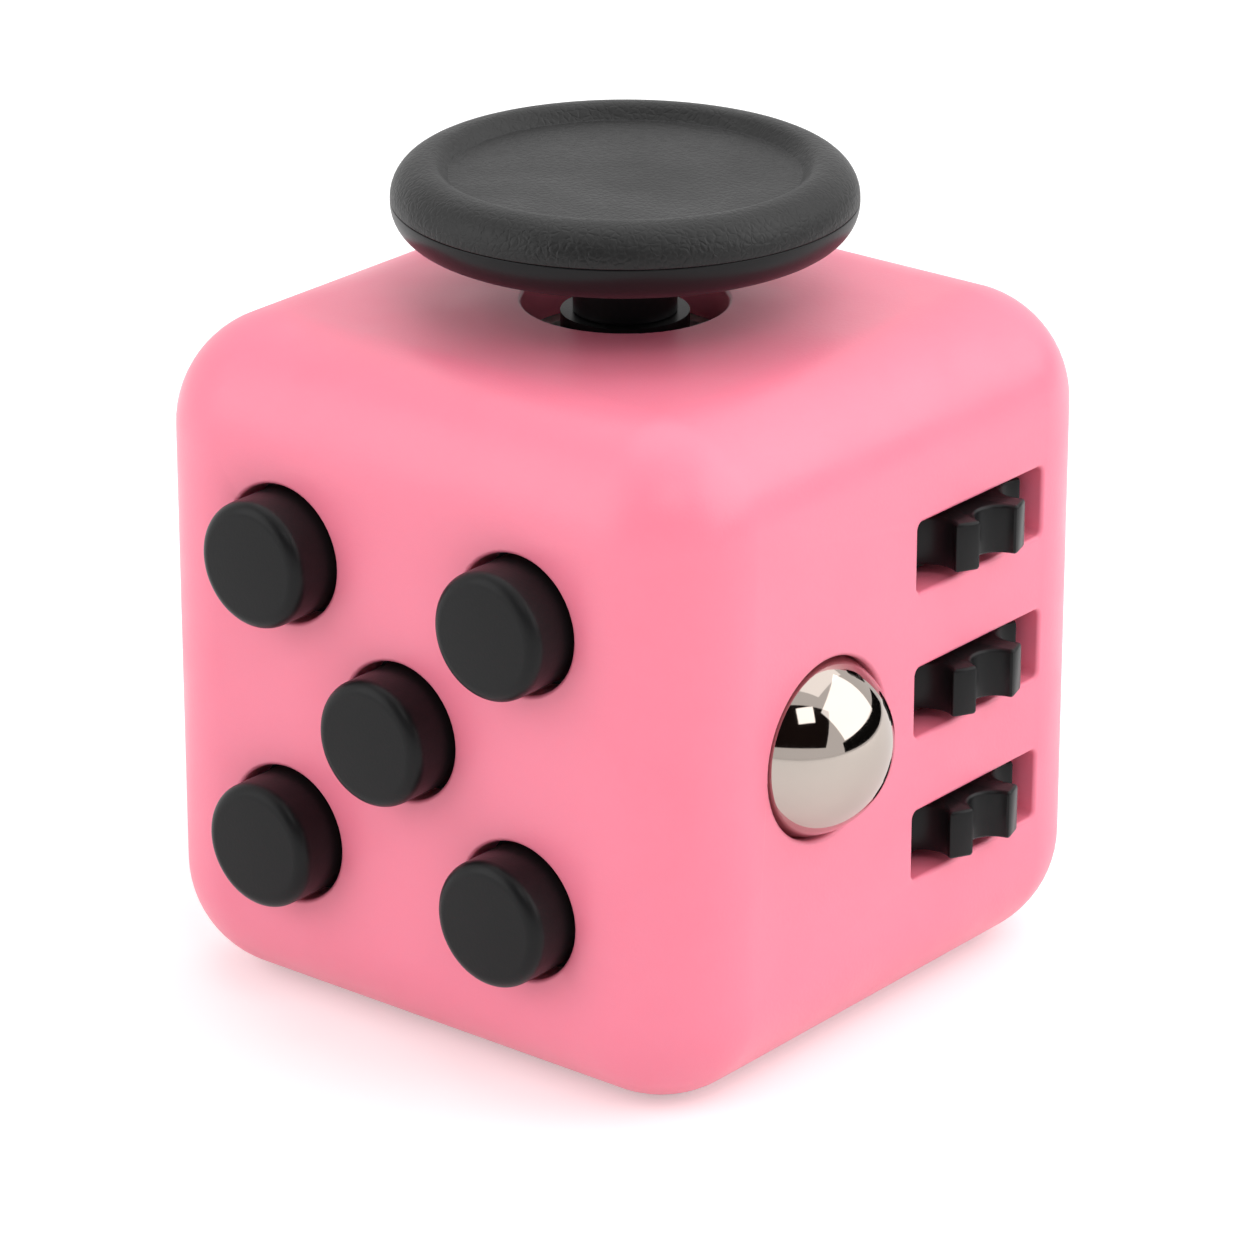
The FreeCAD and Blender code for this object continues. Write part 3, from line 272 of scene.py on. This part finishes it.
def steel(name, colour, roughness, mark_scale, mark_depth, stretch=(1.0, 1.0, 1.0)):
    """Bare steel: fine marks from the tool or the die, a little tarnish in the colour, and uneven shine."""
    material, shader, add = new_material(name, colour, roughness, metallic=1.0)
    tree = material.node_tree
    place = add("ShaderNodeMapping", {"Scale": stretch}, Vector=add("ShaderNodeTexCoord").outputs["Object"])
    marks = add("ShaderNodeTexNoise", {"Scale": mark_scale, "Detail": 4.0, "Roughness": 0.65},
                Vector=place.outputs[0])
    tarnish = add("ShaderNodeTexNoise", {"Scale": 260.0, "Detail": 3.0}, Vector=place.outputs[0])
    tint = add("ShaderNodeMix", {"data_type": "RGBA"})
    tint.inputs["A"].default_value = tuple(c * 0.86 for c in colour[:3]) + (1,)
    tint.inputs["B"].default_value = colour
    tree.links.new(tarnish.outputs["Fac"], tint.inputs["Factor"])
    tree.links.new(tint.outputs["Result"], shader.inputs["Base Color"])
    drift = add("ShaderNodeMapRange", {"From Min": 0.3, "From Max": 0.7, "To Min": roughness * 0.75,
                                       "To Max": roughness * 1.25}, Value=marks.outputs["Fac"])
    tree.links.new(drift.outputs["Result"], shader.inputs["Roughness"])
    bump = add("ShaderNodeBump", {"Strength": 0.4, "Distance": mark_depth}, Height=marks.outputs["Fac"])
    tree.links.new(bump.outputs["Normal"], shader.inputs["Normal"])
    return material


BUTTONS = ("upper_left", "upper_right", "centre", "lower_left", "lower_right")
BUTTON_ROUND, BUTTON_TRAVEL = 0.65 * MM, 1.2 * MM
FLANGE_THICK, FLANGE_LIP, FLANGE_ROUND, FLANGE_CORNER = 0.8 * MM, 0.75 * MM, 0.08 * MM, 0.05 * MM
POST_RADIUS, POST_LENGTH, POST_ROUND = 1.2 * MM, 1.9 * MM, 0.1 * MM
button_plastic = moulded_plastic("satin_black_button_plastic", linear(20, 20, 21), linear(15, 15, 16), 0.38,
                                 6500.0, 0.000012, Specular_IOR_Level=0.18)
spring_steel = steel("drawn_spring_wire", (0.47, 0.46, 0.44, 1), 0.28, 9000.0, 0.000003)


def sprung(node):
    """Stand a finished spring in for its CAD node."""
    piece = merged_copy(node)
    give(piece, spring_steel)
    stand_for(piece, node, "housing")
    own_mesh(piece)


white_plastic = moulded_plastic("white_inner_plastic", linear(230, 228, 222), linear(218, 215, 207), 0.5,
                                4200.0, 0.000015)
screw_steel = steel("zinc_plated_screw_steel", (0.60, 0.60, 0.58, 1), 0.33, 5200.0, 0.000006)
for name in BUTTONS:
    node = f"button_{name}"
    low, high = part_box(node)
    middle, flange, length = (low + high) / 2, (high.x - low.x) / 2, high.y - low.y
    cap, flange_face = flange - FLANGE_LIP, POST_LENGTH + FLANGE_THICK
    corners = [(0, length, 0), (cap, length, BUTTON_ROUND), (cap, flange_face, FLANGE_CORNER),
               (flange, flange_face, FLANGE_ROUND), (flange, POST_LENGTH, FLANGE_ROUND),
               (POST_RADIUS, POST_LENGTH, POST_ROUND), (POST_RADIUS, 0, POST_ROUND), (0, 0, 0)]
    piece = turned_piece(node + "_cap", corners, (middle.x, high.y, middle.z), button_plastic,
                         turn=(math.radians(90), 0, 0))
    stand_for(piece, node, f"button_{name}_body")
    sprung(f"button_spring_{name}")
finish_as_built(spring_steel, "click_domes")
finish_as_built(white_plastic, "button_plate")
finish_as_built(screw_steel, "button_plate_screws")


# ---- Steel ball ----
# A polished bearing ball, 8.9 mm across, turning in a white sprung cup that pushes it out to the rim of its
# seat. Lapping leaves it almost a mirror, with hairline marks from handling.

BALL_STEPS, BALL_TRAVEL = 64, 0.8 * MM
low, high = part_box("roller_ball")
centre, radius = (low + high) / 2, (high.x - low.x) / 2
ball_steel = steel("polished_ball_steel", (0.46, 0.40, 0.36, 1), 0.055, 2600.0, 0.0000006)
arc = [(radius * math.sin(math.pi * k / BALL_STEPS), radius * math.cos(math.pi * k / BALL_STEPS), 0)
       for k in range(BALL_STEPS + 1)]
piece = turned_piece("roller_ball_polished", arc, centre, ball_steel, turn=(0, math.radians(90), 0),
                     around=2 * BALL_STEPS)
stand_for(piece, "roller_ball", "ball")
finish_as_built(white_plastic, "ball_cup")
sprung("ball_spring")


# ---- Toothed wheels ----
# Three black nylon wheels of eight flat-topped teeth, with half-round valleys and a hub on both sides, on one
# steel axle in a white frame. A tree repeats one tooth around the bore and welds the copies.

TEETH, TURNED = 8, math.radians(27.2)
TIP_RADIUS, ROOT_RADIUS, TIP_HALF = 4.95 * MM, 3.65 * MM, 0.675 * MM
BORE_RADIUS, HUB_RADIUS, HUB_HALF, WHEEL_HALF = 1.05 * MM, 1.75 * MM, 1.5 * MM, 1.2 * MM
TOOTH_ROUND, FACE_ROUND, VALLEY_STEPS = 0.22 * MM, 0.16 * MM, 10
ARC_MIDDLE = 0.3  # how far in the middle of a quarter arc lies, as a share of its radius


def half_tooth():
    """The outline from the middle of a valley to the middle of a tooth's tip, the tooth pointing along +Y."""
    half_gap = math.pi / TEETH
    tip_height = math.sqrt(TIP_RADIUS ** 2 - TIP_HALF ** 2)
    chord_out = tip_height * math.cos(half_gap) + TIP_HALF * math.sin(half_gap)
    chord_half = tip_height * math.sin(half_gap) - TIP_HALF * math.cos(half_gap)
    sag = chord_out - ROOT_RADIUS
    valley_radius = (chord_half ** 2 + sag ** 2) / (2 * sag)
    out = Vector((math.sin(half_gap), math.cos(half_gap)))
    centre, corner = out * (ROOT_RADIUS + valley_radius), Vector((TIP_HALF, tip_height))
    sweep = (-out).angle_signed(corner - centre)
    points = []
    for k in range(VALLEY_STEPS + 1):
        turn = -sweep * k / VALLEY_STEPS
        points.append(centre + valley_radius * Vector((-out.x * math.cos(turn) + out.y * math.sin(turn),
                                                       -out.x * math.sin(turn) - out.y * math.cos(turn))))
    flank = (points[-2] - corner).normalized()
    points[-1:] = [corner + flank * TOOTH_ROUND,
                   corner + (flank + Vector((-1, 0))) * TOOTH_ROUND * ARC_MIDDLE,
                   corner + Vector((-1, 0)) * TOOTH_ROUND, Vector((0, tip_height))]
    return points


def one_tooth():
    """A closed ring of rows from the bore round both faces, swept over one tooth's share of the circle."""
    half = half_tooth()
    line = half + [Vector((-p.x, p.y)) for p in reversed(half[:-1])]
    normals = []
    for k, point in enumerate(line):
        along = line[min(k + 1, len(line) - 1)] - line[max(k - 1, 0)]
        if k in (0, len(line) - 1):
            along = Vector((-point.y, point.x))
        normals.append(Vector((along.y, -along.x)).normalized())

    def around(radius):
        return [p.normalized() * radius for p in line]

    def inset(by):
        return [p - n * by for p, n in zip(line, normals)]

    soft = FACE_ROUND * ARC_MIDDLE
    face = [(around(BORE_RADIUS), HUB_HALF), (around(HUB_RADIUS - FACE_ROUND), HUB_HALF),
            (around(HUB_RADIUS), HUB_HALF - FACE_ROUND), (around(HUB_RADIUS), WHEEL_HALF),
            (inset(FACE_ROUND), WHEEL_HALF), (inset(soft), WHEEL_HALF - soft),
            (inset(0), WHEEL_HALF - FACE_ROUND)]
    rows = face + [(points, -z) for points, z in reversed(face)]
    count = len(line)
    mesh = bpy.data.meshes.new("tooth")
    mesh.from_pydata([(p.x, p.y, z) for points, z in rows for p in points], [],
                     [(i * count + k, i * count + k + 1, (i + 1) % len(rows) * count + k + 1,
                       (i + 1) % len(rows) * count + k) for i in range(len(rows)) for k in range(count - 1)])
    return mesh


toothed, entry, leave, add = tree_with_geometry("toothed_wheel", {
    "Teeth": ("Int", TEETH), "Turned": ("Float", 0.0), "Place": ("Vector", (0, 0, 0)),
    "Material": ("Material", None)})
starts = add("GeometryNodeMeshLine", {"Offset": (0, 0, 0)}, Count=entry.outputs["Teeth"])
share = add("ShaderNodeMath", {"operation": "DIVIDE", 0: math.tau}, _1=entry.outputs["Teeth"])
angle = add("ShaderNodeMath", {"operation": "MULTIPLY_ADD"}, _0=add("GeometryNodeInputIndex").outputs[0],
            _1=share.outputs[0], _2=entry.outputs["Turned"])
spin = add("ShaderNodeCombineXYZ", Z=angle.outputs[0])
copies = add("GeometryNodeInstanceOnPoints", Points=starts.outputs[0], Instance=entry.outputs["Geometry"],
             Rotation=spin.outputs[0])
real = add("GeometryNodeRealizeInstances", Geometry=copies.outputs[0])
welded = add("GeometryNodeMergeByDistance", {"Distance": WELD}, Geometry=real.outputs[0])
placed = add("GeometryNodeTransform", Geometry=welded.outputs[0], Translation=entry.outputs["Place"])
smooth = add("GeometryNodeSetShadeSmooth", Geometry=placed.outputs[0])
coated = add("GeometryNodeSetMaterial", Geometry=smooth.outputs[0], Material=entry.outputs["Material"])
toothed.links.new(coated.outputs[0], leave.inputs[0])


def face_outwards(piece):
    """Turn every face of a closed piece to look outwards."""
    form = bmesh.new()
    form.from_mesh(piece.data)
    bmesh.ops.recalc_face_normals(form, faces=form.faces)
    form.to_mesh(piece.data)
    form.free()


wheel_plastic = moulded_plastic("black_nylon_wheel", linear(20, 20, 21), linear(15, 15, 16), 0.34, 5200.0,
                                0.00001, Specular_IOR_Level=0.2)
for level in ("upper", "middle", "lower"):
    low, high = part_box(f"gear_{level}")
    piece = in_scene(f"gear_{level}_toothed", one_tooth())
    run_tree(piece, toothed, {"Teeth": TEETH, "Turned": -TURNED, "Place": tuple((low + high) / 2),
                              "Material": wheel_plastic})
    face_outwards(piece)
    piece.data.set_sharp_from_angle(angle=SHARP_ON_WHEEL)
    stand_for(piece, f"gear_{level}", f"wheel_{level}")
axle_steel = steel("ground_axle_steel", (0.55, 0.54, 0.52, 1), 0.22, 3200.0, 0.000004,
                   stretch=(1.0, 1.0, 6.0))
finish_as_built(axle_steel, "gear_axle")
finish_as_built(white_plastic, "side_frame")
finish_as_built(screw_steel, "side_frame_screws")


# ---- Thumb stick ----
# A round cap in two black mouldings on a black stem: the upper one, with its shallow dish, has a leather-like
# spark-eroded grain, and the pan under it is smooth. A white ring on steel pins lets the stem tilt both ways.

def leather_grain(material, cell_scale, depth):
    """Lay small raised cells over a material's own fine grain."""
    add = node_maker(material.node_tree)
    links, shader = material.node_tree.links, material.node_tree.nodes["Principled BSDF"]
    place = add("ShaderNodeTexCoord").outputs["Object"]
    wander = add("ShaderNodeTexNoise", {"Scale": cell_scale * 0.6, "Detail": 2.0}, Vector=place)
    bent = add("ShaderNodeMix", {"data_type": "VECTOR"})
    bent.inputs["Factor"].default_value = 0.0006
    links.new(place, bent.inputs[4])
    links.new(wander.outputs["Color"], bent.inputs[5])
    cells = add("ShaderNodeTexVoronoi", {"feature": "DISTANCE_TO_EDGE", "Scale": cell_scale},
                Vector=bent.outputs[1])
    height = add("ShaderNodeMapRange", {"From Max": 0.25}, Value=cells.outputs["Distance"])
    bump = add("ShaderNodeBump", {"Strength": 0.55, "Distance": depth}, Height=height.outputs["Result"])
    links.new(shader.inputs["Normal"].links[0].from_socket, bump.inputs["Normal"])
    links.new(bump.outputs["Normal"], shader.inputs["Normal"])
    return material


CAP_RADIUS, DISH_RADIUS, DISH_DROP = 10.9 * MM, 8.2 * MM, 0.65 * MM
NECK_RADIUS, PAN_DEPTH, STICK_SPRING_TRAVEL = 2.45 * MM, 1.8 * MM, 0.55 * MM
RIM_ROUND, LIP_ROUND, DISH_ROUND = 1.71 * MM, 0.75 * MM, 0.12 * MM
LINE_ROUND, NECK_ROUND = 0.05 * MM, 0.4 * MM
CAP_FINENESS = {"steps": 12, "around": 160}
cap_plastic = moulded_plastic("grained_black_cap", linear(26, 26, 26), linear(20, 20, 20), 0.44, 7500.0,
                              0.000012, Specular_IOR_Level=0.3)
grained_black = leather_grain(cap_plastic, 2600.0, 0.00003)
smooth_black = moulded_plastic("smooth_black_stick_plastic", linear(18, 18, 19), linear(14, 14, 15), 0.34,
                               6000.0, 0.00001, Specular_IOR_Level=0.2)
low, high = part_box("stick_cap")
corners = [(0, high.z - DISH_DROP, 0), (DISH_RADIUS, high.z - DISH_DROP, DISH_ROUND),
           (DISH_RADIUS + DISH_DROP, high.z, LIP_ROUND), (CAP_RADIUS, high.z, RIM_ROUND),
           (CAP_RADIUS, low.z, LINE_ROUND), (0, low.z, 0)]
piece = turned_piece("stick_cap_grained", corners, (0, 0, 0), grained_black, **CAP_FINENESS)
stand_for(piece, "stick_cap", "stick")
low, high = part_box("stick_cap_base")
underside = high.z - PAN_DEPTH
corners = [(0, high.z, 0), (CAP_RADIUS, high.z, LINE_ROUND), (CAP_RADIUS, underside, RIM_ROUND),
           (NECK_RADIUS, underside, NECK_ROUND), (NECK_RADIUS, low.z, LINE_ROUND), (0, low.z, 0)]
piece = turned_piece("stick_cap_pan", corners, (0, 0, 0), smooth_black, **CAP_FINENESS)
stand_for(piece, "stick_cap_base", "stick")
piece = baked(weigh_normals(merged_copy("stick_stem")))
give(piece, smooth_black)
stand_for(piece, "stick_stem", "stick")
pin_steel = steel("ground_pin_steel", (0.56, 0.55, 0.53, 1), 0.2, 4200.0, 0.000003)
finish_as_built(white_plastic, "gimbal_ring", "stick_housing", "stick_housing_base")
finish_as_built(pin_steel, "gimbal_inner_pin", "gimbal_outer_pins")
sprung("stick_spring")
finish_as_built(screw_steel, "stick_housing_screws")


# ---- Rocker switch ----
# A black paddle with two faces at an angle, moulded in one with round ends and a flatted cam. It turns on a
# steel pin in a white cradle, and a flat spring under the cam snaps it over.

EDGE_ROUND, EDGE_STEPS = 0.15 * MM, 2


def softened(piece):
    """Break a moulding's real edges with a small round."""
    form = bmesh.new()
    form.from_mesh(piece.data)
    bmesh.ops.dissolve_limit(form, angle_limit=math.radians(0.5), verts=form.verts, edges=form.edges)
    form.to_mesh(piece.data)
    form.free()
    bevel = piece.modifiers.new("soft_edges", "BEVEL")
    bevel.limit_method, bevel.angle_limit = "ANGLE", math.radians(35)
    bevel.width, bevel.segments, bevel.use_clamp_overlap = EDGE_ROUND, EDGE_STEPS, True
    return piece


switch_plastic = moulded_plastic("satin_black_switch_plastic", linear(20, 20, 21), linear(15, 15, 16), 0.35,
                                 6500.0, 0.00001, Specular_IOR_Level=0.2)
piece = baked(weigh_normals(softened(merged_copy("rocker_paddle"))))
give(piece, switch_plastic)
stand_for(piece, "rocker_paddle", "rocker")
finish_as_built(pin_steel, "rocker_pin")
finish_as_built(white_plastic, "rocker_cradle")
finish_as_built(spring_steel, "rocker_leaf")
finish_as_built(screw_steel, "rocker_cradle_screws")


# ---- Spinning dial ----
# A black disc with a finger nub near its rim, sunk in a round recess. Its shaft runs through the wall and is
# held from inside by a nylon friction washer, a steel washer and a screw.

piece = baked(weigh_normals(merged_copy("dial_disc")))
give(piece, switch_plastic)
stand_for(piece, "dial_disc", "dial")
washer_nylon = moulded_plastic("nylon_washer", linear(214, 208, 190), linear(200, 193, 172), 0.42, 3800.0,
                               0.000012, Subsurface_Weight=0.1, Subsurface_Scale=0.0008)
finish_as_built(washer_nylon, "dial_friction_washer")
finish_as_built(screw_steel, "dial_washer", "dial_screw")


# ---- Studio ----
# A white floor and a white surround, four soft lamps (left, front, right and above), and two dark cards that
# show only as reflections in the steel ball and the black plastics.

TARGET = Vector((0.04, 0.09, 16.48)) * MM
LENS, SENSOR_WIDTH = 174.1, 36.0
CAMERA_AZIMUTH, CAMERA_ELEVATION, CAMERA_DISTANCE = 38.90, 21.86, 288.9 * MM
FLOOR_SIDE, FLOOR_GLOW, SURROUND_LIGHT = 8.0, 0.33, 0.6


def towards(azimuth, elevation):
    """A direction from the cube, azimuth turning from the button side to the wheel side."""
    a, e = math.radians(azimuth), math.radians(elevation)
    return Vector((math.sin(a) * math.cos(e), -math.cos(a) * math.cos(e), math.sin(e)))


def stand_at(thing, direction, distance):
    """Stand a thing off from the cube's middle and turn it to look there."""
    thing.location = TARGET + direction * distance
    thing.rotation_mode = "QUATERNION"
    thing.rotation_quaternion = (-direction).to_track_quat("-Z", "Y")


def flat_panel(name, width, height):
    """A flat rectangle about its own middle."""
    mesh = bpy.data.meshes.new(name)
    w, h = width / 2, height / 2
    mesh.from_pydata([(-w, -h, 0), (w, -h, 0), (w, h, 0), (-w, h, 0)], [], [(0, 1, 2, 3)])
    return in_scene(name, mesh)


def seen_directly(add):
    """1 where the camera sees a thing, straight, mirrored or through a clear body, and 0 where it lights."""
    ray = add("ShaderNodeLightPath").outputs
    seen = add("ShaderNodeMath", {"operation": "MAXIMUM"}, _0=ray["Is Camera Ray"], _1=ray["Is Glossy Ray"])
    clear = add("ShaderNodeMath", {"operation": "MAXIMUM"}, _0=seen.outputs[0], _1=ray["Is Transmission Ray"])
    return clear.outputs[0]


camera_data = bpy.data.cameras.new("camera")
camera_data.lens = LENS
camera_data.sensor_width = SENSOR_WIDTH
camera = in_scene("camera", camera_data)
stand_at(camera, towards(CAMERA_AZIMUTH, CAMERA_ELEVATION), CAMERA_DISTANCE)
bpy.context.scene.camera = camera

floor_material, floor_shader, add = new_material("white_floor", (0.86, 0.86, 0.86, 1), 0.9)
glow = add("ShaderNodeMath", {"operation": "MULTIPLY", 1: FLOOR_GLOW}, _0=seen_directly(add))
floor_shader.inputs["Emission Color"].default_value = (1, 1, 1, 1)
floor_material.node_tree.links.new(glow.outputs[0], floor_shader.inputs["Emission Strength"])
floor = flat_panel("floor", FLOOR_SIDE, FLOOR_SIDE)
give(floor, floor_material)

world = bpy.data.worlds.new("studio")
bpy.context.scene.world = world
world.use_nodes = True
sky = world.node_tree.nodes["Background"]
sky.inputs["Color"].default_value = (1, 1, 1, 1)
add = node_maker(world.node_tree)
bright = add("ShaderNodeMapRange", {"To Min": SURROUND_LIGHT, "To Max": 1.0}, Value=seen_directly(add))
world.node_tree.links.new(bright.outputs["Result"], sky.inputs["Strength"])


def soft_light(name, power, width, height, azimuth, elevation, distance):
    """A rectangular soft box that looks at the cube's middle."""
    data = bpy.data.lights.new(name, "AREA")
    data.shape = "RECTANGLE"
    data.size, data.size_y, data.energy = width, height, power
    stand_at(in_scene(name, data), towards(azimuth, elevation), distance)


def dark_card(name, shade, width, height, azimuth, elevation, distance):
    """A matt panel that shows only in reflections."""
    card = flat_panel(name, width, height)
    stand_at(card, towards(azimuth, elevation), distance)
    give(card, new_material(name, shade, 1.0, Specular_IOR_Level=0.0)[0])
    card.visible_camera = card.visible_diffuse = card.visible_shadow = False


soft_light("left_box", 1.2, 0.5, 0.5, -30, 28, 0.6)
soft_light("front_box", 0.35, 0.2, 0.2, 52, 50, 0.6)
soft_light("right_box", 2.0, 0.7, 0.5, 125, 36, 0.6)
soft_light("top_box", 1.05, 0.6, 0.6, 205, 72, 0.6)
dark_card("front_card", (0.02, 0.013, 0.012, 1), 1.5, 0.9, 35, 38, 0.95)
dark_card("side_card", (0.01, 0.01, 0.01, 1), 1.6, 0.22, 135, 7, 0.9)

bpy.context.scene.view_settings.view_transform = "Standard"
